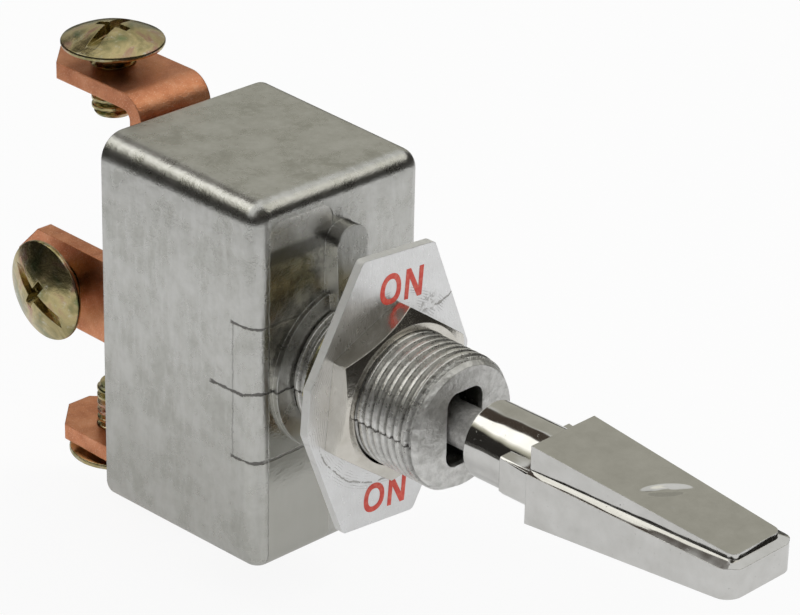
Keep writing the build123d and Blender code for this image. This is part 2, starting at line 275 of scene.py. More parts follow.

# %% [markdown]
# ## The cast housing's finish
# The box is a zinc die casting, left as it came out of the mould: a satin grey skin with flow
# streaks, darker stains and faint lines where the mould's slides met. One noise gives the
# blotches, a stretched one the streaks along the box, and thin bands of Y and Z, shaken by
# noise, draw the mould lines. The face under the plate was rubbed smoother. A painted
# reflection of the plate, nut and washer lies on it, under a painted highlight strip.

# %% Cast metal
def cast_metal():
    material, tree, surface = start_finish("cast zinc skin")
    x, y, z = parts_of(place_mm(tree))
    nx, ny, _ = facing(tree)
    blotches = noise(tree, 0.34, detail=6, rough=0.62)
    streaks = noise(tree, 1.3, stretch=(1, 1, 0.22), rough=0.65)
    grain = noise(tree, 5.0, detail=3, rough=0.7)
    dark, middle, pale = (0.475, 0.475, 0.445), (0.57, 0.57, 0.545), (0.655, 0.655, 0.635)
    colour = ramp(blotches, (0.34, dark), (0.50, middle), (0.66, pale))
    colour = mix(grade(streaks, 0.44, 0.66, 0.0, 0.45), colour, (0.69, 0.69, 0.675))
    # Darker and browner towards the bottom of the box.
    colour = mix(grade(z, 6.0, -16.0, 0.0, 0.30), colour, (0.40, 0.395, 0.345))
    fine = noise(tree, 2.2, detail=6, rough=0.8)
    specks = both(grade(fine, 0.60, 0.70), grade(blotches, 0.56, 0.44), 0.6)
    colour = mix(specks, colour, (0.24, 0.235, 0.22))
    wobble = minus(noise(tree, 1.1, detail=4), 0.5)

    # The field left of the rib was polished by the mould: straight at its sides, round at its top.
    field_x, field_half_w, field_round_z, field_r = -4.7, 2.3, 14.9, 1.35
    side = maths("ABSOLUTE", plus(x, -field_x))
    side = larger(minus(side, field_half_w), 0.0)
    top = larger(minus(z, field_round_z), 0.0)
    off_field = scaled(wobble, 0.35, length_of(side, top))
    on_front = both(grade(ny, -0.6, -0.9), maths("GREATER_THAN", y, -0.4))
    field = both(on_front, fade(off_field, field_r, field_r + 0.15))
    deep = times(field, grade(z, 14.1, 13.3))
    # Painted reflection of the plate, nut and washer on the field: a dark and light mottle, dark near its
    # top and greyer low down.
    clouds = noise(tree, 0.75)
    painted_reflection = ramp(clouds, (0.36, (0.26, 0.255, 0.235)), (0.60, (0.72, 0.70, 0.62)))
    painted_reflection = mix(grade(z, 12.0, 12.6), painted_reflection, (0.24, 0.235, 0.22))
    painted_reflection = mix(grade(z, 4.0, -6.0), painted_reflection, (0.50, 0.495, 0.455))
    colour = mix(times(deep, 0.8), colour, painted_reflection)
    # A painted highlight strip across the top of the field.
    painted_highlight_strip = times(field, grade(z, 13.5, 14.1, 0.0, 0.7))
    colour = mix(painted_highlight_strip, colour, (0.86, 0.85, 0.82))

    # Mould lines: the parting line, the slide's two ends and its long side.
    slide_top, slide_bottom, slide_y = 6.45, -6.9, 2.9
    left = maths("LESS_THAN", x, -2.0)
    face = maths("LESS_THAN", nx, -0.7)
    shaken = scaled(wobble, 0.5, z)
    thick = scaled(noise(tree, 0.8, detail=3, rough=0.5), 0.20, 0.025)
    off_seam = away(shaken, grade(y, 0.4, 2.0, 0.0, -0.35))
    seam = fade(maths("DIVIDE", off_seam, thick), 0.6, 1.3)
    lines = both(seam, left, within(y, -0.6, 5.6, 0.5))
    for height in (slide_top, slide_bottom):
        off_end = maths("DIVIDE", away(shaken, height), thick)
        line = both(fade(off_end, 0.7, 1.3), left, within(y, 0.15, 3.0, 0.3))
        lines = larger(lines, line)
    off_side = away(scaled(wobble, 0.6, y), slide_y)
    beside = within(z, slide_bottom, slide_top, 0.3)
    lines = larger(lines, both(grade(off_side, 0.03, 0.12, 0.4, 0.0), face, beside))
    colour = mix(times(lines, 0.85), colour, (0.10, 0.095, 0.09))

    # The bushing's end looks hammered, and it is paler and rougher.
    end_face = maths("LESS_THAN", y, -15.5)
    hammered = noise(tree, 1.1, rough=0.65)
    end_tone = ramp(hammered, (0.36, (0.60, 0.595, 0.575)), (0.60, (0.88, 0.875, 0.86)))
    colour = mix(times(end_face, 0.8), colour, end_tone)
    roughness = scaled(deep, -0.13, scaled(blotches, 0.16, 0.20))
    coat(surface, colour, scaled(end_face, 0.14, roughness))

    height = scaled(grain, 0.22, times(streaks, 0.35))
    height = scaled(blotches, 1.2, height)
    height = scaled(lines, -1.2, height)
    height = scaled(both(end_face, hammered), 2.5, height)
    height = scaled(both(field, grade(z, 16.2, 14.8)), -1.0, height)
    dents(surface, height, 0.10, 0.7, edge_mm=0.12)
    return material


cast_finish = cast_metal()
print(cast_finish.name, "has", len(cast_finish.node_tree.nodes), "nodes")

# %% [markdown]
# ## The thread's finish
# The bushing's thread is the same metal, cut and rolled brighter by the nut, with painted grey
# shade down in the valleys. The distance from the bushing's axis tells crest from valley. The two
# halves of the mould met along the side, and the front edge was broken off rough.

# %% Threaded metal
def thread_metal():
    material, tree, surface = start_finish("worn thread")
    x, y, z = parts_of(place_mm(tree))
    crest = grade(length_of(x, z), 5.97, 6.24)
    wear = noise(tree, 1.3, detail=6, rough=0.7)
    bright = ramp(wear, (0.35, (0.62, 0.615, 0.59)), (0.62, (0.86, 0.855, 0.835)))
    # Painted shade: the valleys between the crests are darker grey.
    painted_valley_shade = ramp(wear, (0.35, (0.30, 0.295, 0.28)), (0.65, (0.52, 0.515, 0.50)))
    colour = mix(crest, painted_valley_shade, bright)
    # The parting line of the mould runs along the thread's left side.
    shake = times(minus(noise(tree, 1.6, rough=0.7), 0.5), 1.1)
    off_seam = maths("ABSOLUTE", plus(plus(z, 0.1), shake))
    on_left = maths("LESS_THAN", x, -1.0)
    seam = both(fade(off_seam, 0.05, 0.16), on_left, grade(y, -15.8, -15.4))
    colour = mix(times(seam, 0.9), colour, (0.07, 0.065, 0.06))
    coat(surface, colour, scaled(wear, 0.25, 0.16))
    # The chamfer at the front was broken off rough, so it sparkles.
    torn = both(grade(y, -14.6, -15.1), noise(tree, 2.6, detail=4))
    pores = noise(tree, 3.0, stretch=(1, 0.5, 1), rough=0.7)
    height = scaled(seam, -1.5, scaled(torn, 6.0, pores))
    dents(surface, height, 0.07, 0.7)
    return material


thread_finish = thread_metal()
print(thread_finish.name, "ready")

# %% [markdown]
# ## Chrome on the lever
# The lever is a zinc casting with bright chrome on it. Chrome has almost no colour of its own:
# what makes it look real is a surface that isn't quite flat, so reflections bend. A slow
# noise gives that wave, a fine one the small pits, and the raw ball and stem inside the
# bushing stay rough and grey because plating doesn't reach them.

# %% Chrome
def chrome_plate():
    material, tree, surface = start_finish("bright chrome")
    x, y, _ = parts_of(place_mm(tree))
    _, _, nz = facing(tree)
    raw = grade(y, -19.35, -19.05)
    haze = noise(tree, 0.5)
    pits = grade(noise(tree, 2.6, rough=0.7), 0.66, 0.74)
    plated = ramp(haze, (0.3, (0.60, 0.595, 0.575)), (0.7, (0.69, 0.685, 0.67)))
    plated = mix(times(pits, 0.5), plated, (0.30, 0.28, 0.25))
    skin = noise(tree, 1.6, detail=6, rough=0.75)
    grey = ramp(skin, (0.35, (0.48, 0.475, 0.46)), (0.66, (0.88, 0.87, 0.86)))
    gloss = scaled(haze, 0.10, 0.045)
    coat(surface, mix(raw, plated, grey), scaled(raw, 0.36, gloss))
    # An oblong sink mark lies slantwise on the panel, over the thick root. Its two axes are
    # (0.48, 0.88) and (0.88, -0.48), and it is 2.5 times longer than wide.
    across = plus(times(x, 0.48), scaled(y, 0.88, 33.94))
    along = plus(times(x, 0.88), scaled(y, -0.48, -19.2))
    long_share = times(along, times(along, 0.16))
    off_mark = maths("SQRT", plus(times(across, across), long_share))
    sink = both(fade(off_mark, 0.15, 1.05), maths("GREATER_THAN", nz, 0.5))
    wave = noise(tree, 0.22, stretch=(1, 0.6, 1), detail=2, rough=0.4)
    rough_skin = times(raw, noise(tree, 4.0, detail=4, rough=0.7))
    height = scaled(rough_skin, 0.35, scaled(pits, -0.04, wave))
    height = scaled(sink, -1.3, height)
    dents(surface, height, 0.35, 0.8, edge_mm=0.07)
    return material


chrome_finish = chrome_plate()
print(chrome_finish.name, "ready")

# %% [markdown]
# ## Copper straps
# The straps are stamped from copper bar. They are satin, a little brown where handled, brighter
# along the sheared edges, and fine painted glints of pale orange are specked all over them.

# %% Copper
def copper():
    material, tree, surface = start_finish("satin copper")
    cloud = noise(tree, 0.45)
    grain = noise(tree, 7.0, detail=2)
    brown, red, pale = (0.60, 0.22, 0.105), (0.77, 0.32, 0.165), (0.88, 0.43, 0.25)
    colour = ramp(cloud, (0.32, brown), (0.55, red), (0.75, pale))
    # Painted glints: fine specks of pale orange over the whole strap.
    colour = mix(grade(grain, 0.56, 0.68, 0.0, 0.55), colour, (1.0, 0.70, 0.50))
    coat(surface, colour, scaled(grain, 0.2, 0.26))
    dents(surface, scaled(cloud, 2.0, grain), 0.04, 0.9, edge_mm=0.18)
    return material


copper_finish = copper()
print(copper_finish.name, "ready")

# %% [markdown]
# ## Yellow chromate on the screws
# The screws and the split washer are zinc plated and passivated yellow. The film is thinner than
# a wavelength of light in places, so its colour drifts from olive to green and pink. A slow
# noise picks the place on that drift, and patches where the film is rubbed off are silver.

# %% Yellow zinc
def yellow_zinc(name, olive, silver):
    material, tree, surface = start_finish(name)
    drift = noise(tree, 0.38, detail=3, rough=0.5, twist=0.6)
    green, yellow = (0.17, 0.22, 0.10), (0.56, 0.47, 0.24)
    pink, brown = (0.46, 0.27, 0.20), (0.34, 0.33, 0.22)
    film = ramp(drift, (0.28, green), (0.42, olive), (0.55, yellow), (0.66, pink), (0.80, brown))
    rubbed = grade(noise(tree, 1.2, detail=6, rough=0.7), 0.52, 0.72, 0.0, 0.7)
    coat(surface, mix(rubbed, film, silver), scaled(drift, 0.18, 0.14))
    dents(surface, noise(tree, 1.5, detail=4), 0.05, 0.6, edge_mm=0.10)
    return material


screw_finish = yellow_zinc("yellow zinc screw", (0.33, 0.29, 0.14), (0.66, 0.64, 0.54))
washer_finish = yellow_zinc("yellow zinc washer", (0.66, 0.60, 0.42), (0.78, 0.75, 0.66))
print(screw_finish.name, "and", washer_finish.name, "ready")

# %% [markdown]
# ## Nickel, plate metal and print
# The nut is nickel plated: a warm white metal, nearly a mirror, with fine turning scratches on
# its front. The plate is aluminium sheet with a fine satin surface, scratched in arcs where the
# nut turned on it. The letters are red ink with small gaps.

# %% Nickel, plate and ink
def nickel():
    material, tree, surface = start_finish("nickel plate")
    cloud = noise(tree, 0.6)
    scratches = noise(tree, 2.2, stretch=(1, 3, 0.25), rough=0.65)
    colour = ramp(cloud, (0.3, (0.64, 0.61, 0.55)), (0.7, (0.78, 0.755, 0.70)))
    coat(surface, colour, scaled(cloud, 0.16, 0.10))
    dents(surface, scaled(scratches, 0.3, cloud), 0.10, 0.6, edge_mm=0.12)
    return material


def plate_metal():
    material, tree, surface = start_finish("satin plate")
    x, y, z = parts_of(place_mm(tree))
    _, ny, _ = facing(tree)
    sheared = grade(maths("ABSOLUTE", ny), 0.6, 0.4)
    radius = length_of(x, z)
    rings = noise(tree, 1.0, detail=3, rough=0.5)
    fine = noise(tree, 3.5, stretch=(1, 1, 0.3), rough=0.7)
    cloud = noise(tree, 0.5)

    # Scuffs: rings where the nut turned, one long arc, a scratch and a smudge by the upper word.
    ring_wave = maths("SINE", scaled(radius, 26.0, times(rings, 9.0)))
    turned = both(within(radius, 7.0, 9.4, 0.5), grade(ring_wave, 0.72, 0.98))
    turned = both(turned, grade(rings, 0.45, 0.62))
    shaken = scaled(noise(tree, 0.5, detail=4), 0.9, radius)
    arc = both(within(shaken, 9.35, 9.42, 0.06), grade(z, -2.5, -4.0))
    arc = both(arc, grade(rings, 0.40, 0.46))
    scuffs = larger(times(turned, 0.6), arc)
    off_scratch = away(scaled(rings, 1.2, z), scaled(x, 0.35, 5.2))
    scratch = both(fade(off_scratch, 0.04, 0.12), within(x, 5.6, 8.6, 0.3))
    scuffs = larger(scuffs, scratch)
    off_smudge = larger(away(x, 4.5), away(z, 7.0))
    smears = noise(tree, 2.2, rough=0.7)
    smudge = both(grade(off_smudge, 1.3, 0.5), grade(smears, 0.50, 0.60), 0.7)
    scuffs = larger(scuffs, smudge)

    colour = ramp(cloud, (0.3, (0.80, 0.80, 0.80)), (0.7, (0.88, 0.885, 0.89)))
    colour = mix(sheared, colour, (0.93, 0.93, 0.92))
    colour = mix(times(scuffs, 0.8), colour, (0.30, 0.29, 0.27))
    nicks = noise(tree, 0.9, stretch=(3.5, 1, 0.35), detail=6, rough=0.8)
    colour = mix(times(grade(nicks, 0.66, 0.72), 0.5), colour, (0.36, 0.35, 0.33))
    coat(surface, colour, scaled(sheared, 0.45, scaled(fine, 0.14, 0.22)))
    height = scaled(cloud, 1.5, scaled(scuffs, -0.5, fine))
    dents(surface, height, 0.04, 0.7, edge_mm=0.08)
    return material


def red_ink():
    material, tree, surface = start_finish("red ink", metallic=0.0)
    patch = noise(tree, 2.4, rough=0.7)
    thin, full, thick = (0.72, 0.16, 0.11), (0.66, 0.065, 0.045), (0.58, 0.045, 0.035)
    colour = ramp(patch, (0.32, thin), (0.55, full), (0.8, thick))
    coat(surface, colour, scaled(patch, 0.2, 0.35))
    dents(surface, patch, 0.02, 0.5)
    return material


nickel_finish, plate_finish, ink_finish = nickel(), plate_metal(), red_ink()
print(nickel_finish.name, plate_finish.name, ink_finish.name, "ready")

# %% [markdown]
# ## The hidden works
# Inside the box are moulded phenolic, a fibre liner, silver contacts, spring steel and a nylon
# plunger. They show from behind or in a cutaway, so each gets a real finish too.

# %% Inner finishes
def plain_finish(name, metallic, dark, light, scale, gloss, bump_mm, stretch=(1, 1, 1)):
    """A two-colour cloud with a roughness and a bump from the same noise."""
    material, tree, surface = start_finish(name, metallic)
    cloud = noise(tree, scale, stretch=stretch)
    colour = ramp(cloud, (0.3, dark), (0.7, light))
    coat(surface, colour, scaled(cloud, 0.2, gloss))
    dents(surface, cloud, bump_mm, 0.6, edge_mm=0.12)
    return material


phenolic_finish = plain_finish(
    "moulded phenolic", 0.0, (0.030, 0.017, 0.012), (0.060, 0.033, 0.024), 1.2, 0.30, 0.05
)
fibre_finish = plain_finish(
    "vulcanised fibre", 0.0, (0.17, 0.15, 0.115), (0.26, 0.225, 0.175), 2.0, 0.55, 0.06, (1, 1, 0.3)
)
silver_finish = plain_finish("contact silver", 1.0, (0.74, 0.72, 0.68), (0.88, 0.87, 0.84), 2.0, 0.18, 0.03)
steel_finish = plain_finish("spring steel", 1.0, (0.42, 0.41, 0.40), (0.60, 0.60, 0.59), 2.5, 0.20, 0.03)
nylon_finish = plain_finish("natural nylon", 0.0, (0.62, 0.58, 0.47), (0.72, 0.69, 0.60), 1.2, 0.35, 0.03)

finish_of_slot = {
    "cast_metal": cast_finish,
    "chrome_plate": chrome_finish,
    "spring_steel": steel_finish,
    "plunger_nylon": nylon_finish,
    "copper": copper_finish,
    "contact_silver": silver_finish,
    "phenolic": phenolic_finish,
    "fibre_sheet": fibre_finish,
    "yellow_zinc": washer_finish,
    "plate_metal": plate_finish,
    "nickel": nickel_finish,
}
print(len(finish_of_slot), "finishes for the record's slots")

# %% [markdown]
# ## Dressing the CAD solids
# Solids whose CAD shape is right keep it and only change their material. The table below gives
# each finish slot its solids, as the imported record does, so one loop can dress them all.

# %% Materials on the CAD nodes
nodes_of_slot = {
    "cast_metal": ("housing",),
    "chrome_plate": ("toggle_lever",),
    "spring_steel": ("lever_pivot_pin", "plunger_spring"),
    "plunger_nylon": ("plunger",),
    "copper": (
        "rocker", "centre_contact", "centre_rivet", "terminal_top", "terminal_middle", "terminal_bottom"
    ),
    "contact_silver": (
        "moving_contact_top", "moving_contact_bottom", "fixed_contact_top", "fixed_contact_bottom"
    ),
    "phenolic": ("insulating_base",),
    "fibre_sheet": ("insulating_liner",),
    "yellow_zinc": ("terminal_screw_top", "terminal_screw_middle", "terminal_screw_bottom", "lock_washer"),
    "plate_metal": ("legend_plate",),
    "nickel": ("hex_nut",),
}
for slot_name, names in nodes_of_slot.items():
    for name in names:
        for place in nodes[name].material_slots:
            place.material = finish_of_slot[slot_name]
print(len(nodes), "solids dressed")

# %% [markdown]
# ## Copies of CAD solids
# Some solids are replaced by a finer copy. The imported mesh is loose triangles, so the copy is
# merged first, and its shading is smooth except over edges sharper than 28 degrees.

# %% Merged copies
def piece_from(name, mesh, material):
    piece = bpy.data.objects.new(name, mesh)
    bpy.context.scene.collection.objects.link(piece)
    mesh.materials.clear()
    mesh.materials.append(material)
    return piece


def merged(node):
    work = bmesh.new()
    work.from_mesh(node.data)
    bmesh.ops.remove_doubles(work, verts=work.verts, dist=0.002 * MM)
    bmesh.ops.dissolve_degenerate(work, edges=work.edges, dist=0.0005 * MM)
    return work


def finish_shading(work, angle=28):
    bmesh.ops.recalc_face_normals(work, faces=work.faces)
    for face in work.faces:
        face.smooth = True
    for edge in work.edges:
        edge.smooth = len(edge.link_faces) == 2 and edge.calc_face_angle(0) < radians(angle)


def to_mesh(work, name):
    mesh = bpy.data.meshes.new(name)
    work.to_mesh(mesh)
    work.free()
    return mesh


def band(work, here, there):
    """Joins two closed loops of as many points with a band of faces."""
    for i in range(len(here)):
        j = (i + 1) % len(here)
        work.faces.new((here[i], here[j], there[j], there[i]))


print("copy helpers ready")

# %% [markdown]
# ## A thread that Geometry Nodes cut
# Both the bushing and the terminal screws have threads, so one node tree makes them all. It
# starts from a flat grid, bends it round an axis, and sets each point's distance from the
# axis by how far along the pitch it is. A swept ridge would do too, but this way crest,
# valley and end chamfer are one closed skin. Named inputs hold the sizes.

# %% Thread tree
def thread_tree():
    tree = bpy.data.node_groups.new("cut a thread", "GeometryNodeTree")
    for name, kind, value in (
        ("Core Radius", "NodeSocketFloat", 1.0),
        ("Crest Radius", "NodeSocketFloat", 1.2),
        ("Pitch", "NodeSocketFloat", 0.5),
        ("Length", "NodeSocketFloat", 5.0),
        ("End Chamfer", "NodeSocketFloat", 0.5),
        ("Inner Radius", "NodeSocketFloat", 0.0),
        ("Worn Side", "NodeSocketFloat", 0.0),
        ("Rings", "NodeSocketInt", 40),
        ("Columns", "NodeSocketInt", 48),
        ("Finish", "NodeSocketMaterial", None),
    ):
        socket = tree.interface.new_socket(name, in_out="INPUT", socket_type=kind)
        if value is not None:
            socket.default_value = value
    tree.interface.new_socket("Thread", in_out="OUTPUT", socket_type="NodeSocketGeometry")
    given = tree.nodes.new("NodeGroupInput").outputs
    result = tree.nodes.new("NodeGroupOutput")

    # Rings 1 to n carry the thread. Rings 0 and n+1 turn in at the ends, and ring n+2 closes a tube.
    grid = tree.nodes.new("GeometryNodeMeshGrid")
    feed(grid.inputs["Size X"], 1.0)
    feed(grid.inputs["Size Y"], 1.0)
    feed(grid.inputs["Vertices X"], plus(given["Rings"], 3))
    feed(grid.inputs["Vertices Y"], plus(given["Columns"], 1))
    across, around, _ = parts_of(tree.nodes.new("GeometryNodeInputPosition").outputs[0])
    steps = plus(given["Rings"], 2)
    ring = maths("ROUND", times(plus(across, 0.5), steps))
    turn = plus(around, 0.5)
    angle = times(turn, 2 * pi)

    last = maths("GREATER_THAN", ring, plus(given["Rings"], 1.5))
    hollow = maths("GREATER_THAN", given["Inner Radius"], 1e-9)
    back_to_start = times(last, hollow)
    share = maths("DIVIDE", minus(ring, 1.0), minus(given["Rings"], 1.0))
    share = maths("MINIMUM", larger(share, 0.0), 1.0)
    share = times(share, minus(1.0, back_to_start))
    along = times(share, given["Length"])

    phase = minus(maths("DIVIDE", along, given["Pitch"]), turn)
    phase = maths("FRACT", plus(phase, 50.0))
    wave = maths("ABSOLUTE", scaled(phase, 2.0, -1.0))
    ridge = grade(wave, 0.12, 0.66)
    # One side of a cast thread is a little worn and flatter, below the mould's parting line.
    side = times(grade(turn, 0.495, 0.505), fade(turn, 0.62, 0.72))
    wear = times(side, given["Worn Side"])
    ridge = times(ridge, minus(1.0, wear))
    depth = minus(given["Crest Radius"], given["Core Radius"])
    radius = scaled(depth, ridge, given["Core Radius"])
    chamfer_slope = 0.65
    to_end = times(minus(given["Length"], along), chamfer_slope)
    at_end = times(given["End Chamfer"], chamfer_slope)
    chamfered = plus(minus(given["Crest Radius"], at_end), to_end)
    radius = maths("MINIMUM", radius, chamfered)
    past_end = maths("GREATER_THAN", ring, plus(given["Rings"], 0.5))
    inside = larger(maths("LESS_THAN", ring, 0.5), past_end)
    outer = times(radius, minus(1.0, inside))
    radius = plus(outer, times(given["Inner Radius"], inside))

    joined = tree.nodes.new("ShaderNodeCombineXYZ")
    tree.links.new(times(radius, maths("COSINE", angle)), joined.inputs["X"])
    tree.links.new(times(radius, maths("SINE", angle)), joined.inputs["Y"])
    tree.links.new(along, joined.inputs["Z"])
    bend = tree.nodes.new("GeometryNodeSetPosition")
    tree.links.new(grid.outputs["Mesh"], bend.inputs["Geometry"])
    tree.links.new(joined.outputs[0], bend.inputs["Position"])
    weld = tree.nodes.new("GeometryNodeMergeByDistance")
    weld.inputs["Distance"].default_value = 0.0005 * MM
    realize = tree.nodes.new("GeometryNodeRealizeInstances")
    set_finish = tree.nodes.new("GeometryNodeSetMaterial")
    tree.links.new(bend.outputs[0], weld.inputs["Geometry"])
    tree.links.new(weld.outputs[0], realize.inputs[0])
    tree.links.new(realize.outputs[0], set_finish.inputs["Geometry"])
    tree.links.new(given["Finish"], set_finish.inputs["Material"])
    tree.links.new(set_finish.outputs[0], result.inputs[0])
    return tree


cut_thread = thread_tree()
print("thread tree with", len(cut_thread.nodes), "nodes")

# %% Bake a tree to a plain mesh
def bake(tree, name, sizes):
    """Runs a node tree on an empty mesh and returns the result as a plain mesh."""
    carrier = bpy.data.objects.new(name, bpy.data.meshes.new(name))
    bpy.context.scene.collection.objects.link(carrier)
    modifier = carrier.modifiers.new(name, "NODES")
    modifier.node_group = tree
    for item in tree.interface.items_tree:
        if item.in_out == "INPUT" and item.name in sizes:
            modifier[item.identifier] = sizes[item.name]
    bpy.context.view_layer.update()
    view = carrier.evaluated_get(bpy.context.evaluated_depsgraph_get())
    mesh = bpy.data.meshes.new_from_object(view)
    carrier.modifiers.remove(modifier)
    bpy.data.objects.remove(carrier)
    return mesh


bushing_r, turned_down_r, bushing_root = 6.35, 5.30, -0.6
thread_mesh = bake(cut_thread, "bushing_thread", {
    "Core Radius": 5.95 * MM,
    "Crest Radius": bushing_r * MM,
    "Pitch": 0.907 * MM,
    "Length": 15.3 * MM,
    "End Chamfer": 1.0 * MM,
    "Inner Radius": turned_down_r * MM,
    "Worn Side": 0.45,
    "Rings": 256,
    "Columns": 144,
    "Finish": thread_finish,
})
print("bushing thread:", len(thread_mesh.vertices), "points")

# %% [markdown]
# ## The housing
# The housing is the CAD casting with its plain bushing turned down to the thread's core, and
# the thread's skin put over it. The points that lie on the bushing's outer cylinder are found
# by their distance from the axis.

# %% Housing with its thread
work = merged(nodes["housing"])
turned_down = 0
for point in work.verts:
    x, y, z = point.co / MM
    radius = (x * x + z * z) ** 0.5
    if abs(radius - bushing_r) < 0.03 and -15.05 < y < bushing_root + 0.05:
        point.co.x *= turned_down_r / radius
        point.co.z *= turned_down_r / radius
        turned_down += 1
finish_shading(work)
housing = piece_from("housing_cast", to_mesh(work, "housing_cast"), cast_finish)
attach(housing, "switch_body")
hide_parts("housing")

# The thread tree works along +Z from the root. The bushing runs along -Y from its root.
lie_down = Matrix(((1, 0, 0), (0, 0, -1), (0, 1, 0))).to_4x4()
thread_mesh.transform(Matrix.Translation((0, (bushing_root - 0.08) * MM, 0)) @ lie_down)
work = bmesh.new()
work.from_mesh(thread_mesh)
finish_shading(work, 60)
bushing_thread = piece_from("bushing_thread", to_mesh(work, "bushing_thread"), thread_finish)
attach(bushing_thread, "switch_body")
print("points turned down:", turned_down)

# %% [markdown]
# ## The nut
# A nut can stop at any turn on its thread, so this one stands at the turn that the picture shows.
# Its front was turned to a round face that is smaller than its flats, which leaves a slope
# of 30 degrees that is deepest at the corners. Five rings of points make it: the radius of
# each is a circle or the hexagon, and the slope's depth follows from the radius.

# %% Nut
nut_bore, nut_face, nut_flat = 6.38, 7.05, 7.30
nut_front, nut_back, first_corner = -8.85, -6.5, 24
slope_of_30_degrees = 0.577


def nut_ring(work, radius_at, slope=0.0, depth=nut_front):
    ring = []
    for degrees in range(0, 360, 2):
        angle, radius = radians(degrees), radius_at(degrees)
        y = depth + slope * (radius - nut_face)
        ring.append(work.verts.new(Vector((radius * cos(angle), y, radius * sin(angle))) * MM))
    return ring


def hexagon(angle):
    return nut_flat / cos(radians((angle - first_corner) % 60 - 30))


work = bmesh.new()
rings = [
    nut_ring(work, lambda angle: nut_bore),
    nut_ring(work, lambda angle: nut_face),
    nut_ring(work, hexagon, slope=slope_of_30_degrees),
    nut_ring(work, hexagon, depth=nut_back),
    nut_ring(work, lambda angle: nut_bore, depth=nut_back),
]
for here, there in zip(rings, rings[1:] + rings[:1]):
    band(work, here, there)
finish_shading(work)
nut = piece_from("nut_turned", to_mesh(work, "nut_turned"), nickel_finish)
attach(nut, "switch_body")
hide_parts("hex_nut")
print("nut:", len(nut.data.polygons), "faces")

# %% [markdown]
# ## The lever
# The lever's ball, stem, collar and paddle come from the CAD. Plated castings have no sharp edge,
# so the finish rounds them, and it draws a sink mark into the top of the paddle, where the
# thick metal shrank as it cooled. The step round the raised panel is a sloping strip, so its
# points move onto one slope, and the shoulder behind it is a low hump of flash. The lever is
# loose in its slot, so the part outside leans a little over one degree to the side.

# %% Lever
paddle_root, paddle_tip, taper_len = -27.3, -49.6, 22.3
strip_slope, strip_rise = 0.36, 0.45
pivot, lean = Vector((0, -9.5 * MM, 0)), Matrix.Rotation(radians(1.2), 3, "Z")
work = merged(nodes["toggle_lever"])
for point in work.verts:
    x, y, z = point.co / MM
    along = (paddle_root - y) / taper_len
    half_w, side_top = 4.45 - 0.30 * along, 1.5 - 0.3 * along
    if along > -0.01 and side_top - 0.03 < z < side_top + 0.53:
        inset = min(half_w - abs(x), y - paddle_tip)
        if inset > 0.05:
            point.co.z = (side_top + min(inset * strip_slope, strip_rise)) * MM
    if -27.25 < y < -23.9 and abs(x) > 3.85 and z > 1.3:
        inner = abs(x) < 4.1
        point.co.x *= 4.28 / abs(x) if inner else 1.0
        point.co.z = (1.9 if inner else 1.78) * MM
    if point.co.y < -16 * MM:
        point.co = pivot + lean @ (point.co - pivot)
bmesh.ops.remove_doubles(work, verts=work.verts, dist=0.004 * MM)
finish_shading(work, 20)
lever = piece_from("lever_chromed", to_mesh(work, "lever_chromed"), chrome_finish)
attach(lever, "lever")
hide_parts("toggle_lever")
print("lever:", len(lever.data.polygons), "faces")

# %% [markdown]
# ## The plunger's spring
# The coil spring pushes the plunger back, and gets shorter when the plunger is pressed in. A
# copy of the CAD coil rides with the lever, on a mesh of its own.

# %% Spring copy
work = merged(nodes["plunger_spring"])
finish_shading(work, 50)
spring = piece_from("spring_coil", to_mesh(work, "spring_coil"), steel_finish)
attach(spring, "lever")
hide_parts("plunger_spring")
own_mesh(spring)

# %% [markdown]
# ## Terminal screws
# Each screw has a low domed head with a slot and a cross recess, and a rolled thread. The head
# is turned from a profile, and the recess is cut with tapered blades by an exact boolean, which
# keeps the edges crisp. The thread comes from the same tree as the bushing's. One screw
# mesh is made with its head up and then placed on each strap.

# %% Head and recess
def lathe(work, profile, segments):
    """Turns a profile of (radius, height) in mm round Z. It starts and ends on the axis."""
    angles = [2 * pi * i / segments for i in range(segments)]
    rings = []
    for radius, height in profile:
        spots = [(radius * cos(a), radius * sin(a), height) for a in angles] if radius else [(0, 0, height)]
        rings.append([work.verts.new(Vector(spot) * MM) for spot in spots])
    for low, high in zip(rings, rings[1:]):
        if len(low) == len(high):
            band(work, low, high)
            continue
        for i in range(segments):
            j = (i + 1) % segments
            work.faces.new((low[0], high[j], high[i]) if len(low) == 1 else (low[i], low[j], high[0]))


def blade(work, half_len, half_width, bottom, top, taper, turn):
    """A box that narrows towards its bottom, as the recess of a punched head does."""
    points = []
    for height, shrink in ((bottom, taper), (top, 0.0)):
        for sx, sy in ((-1, -1), (1, -1), (1, 1), (-1, 1)):
            x, y = sx * (half_len - shrink), sy * (half_width - shrink * 0.22)
            points.append(work.verts.new((Matrix.Rotation(turn, 3, "Z") @ Vector((x, y, height))) * MM))
    low, high = points[:4], points[4:]
    work.faces.new(low[::-1])
    work.faces.new(high)
    band(work, low, high)


def shape(name, build):
    work = bmesh.new()
    build(work)
    bmesh.ops.recalc_face_normals(work, faces=work.faces)
    piece = bpy.data.objects.new(name, to_mesh(work, name))
    bpy.context.scene.collection.objects.link(piece)
    return piece


def cut(base, cutter):
    """Subtracts the cutter from the base and leaves one plain mesh."""
    modifier = base.modifiers.new("cut", "BOOLEAN")
    modifier.operation = "DIFFERENCE"
    modifier.solver = "EXACT"
    modifier.object = cutter
    bpy.context.view_layer.update()
    mesh = bpy.data.meshes.new_from_object(base.evaluated_get(bpy.context.evaluated_depsgraph_get()))
    base.modifiers.remove(modifier)
    bpy.data.objects.remove(cutter)
    base.data = mesh


